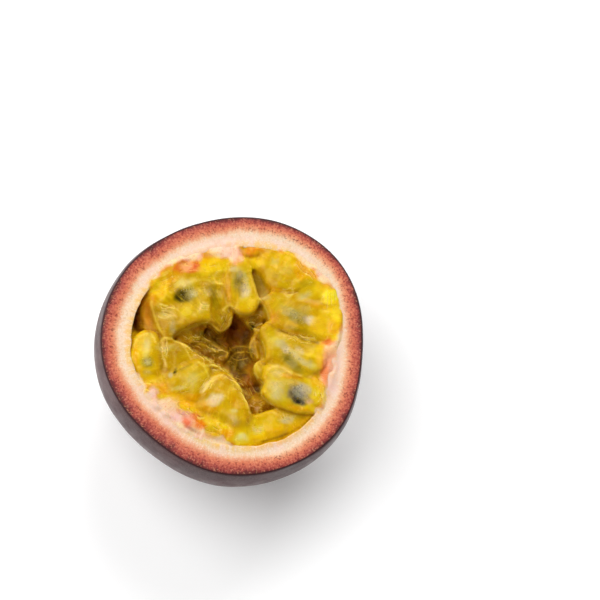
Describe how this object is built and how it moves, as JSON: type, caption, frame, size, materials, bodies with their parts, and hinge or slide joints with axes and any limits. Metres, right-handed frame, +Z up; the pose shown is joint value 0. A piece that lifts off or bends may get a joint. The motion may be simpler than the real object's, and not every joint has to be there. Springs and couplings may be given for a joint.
{
  "type": "passion fruit half",
  "caption": "Half of a purple passion fruit lying on its rounded end, cut face up: a bowl-shaped shell with red layer and cream pith, lined with yellow juice sacs round an open hollow.",
  "frame": {"origin": "on the surface that the fruit lies on, under the middle of the fruit's outline seen from above", "axes": "+Z up, square to the cut face, which faces up; +X and +Y lie in the plane of the cut"},
  "size_m": [0.0548, 0.055, 0.0323],
  "materials": {
    "rind": "satin",
    "pulp": "wet gloss"
  },
  "bodies": {
    "root": {"shell": "rind", "pulp": "pulp"}
  },
  "joints": []
}
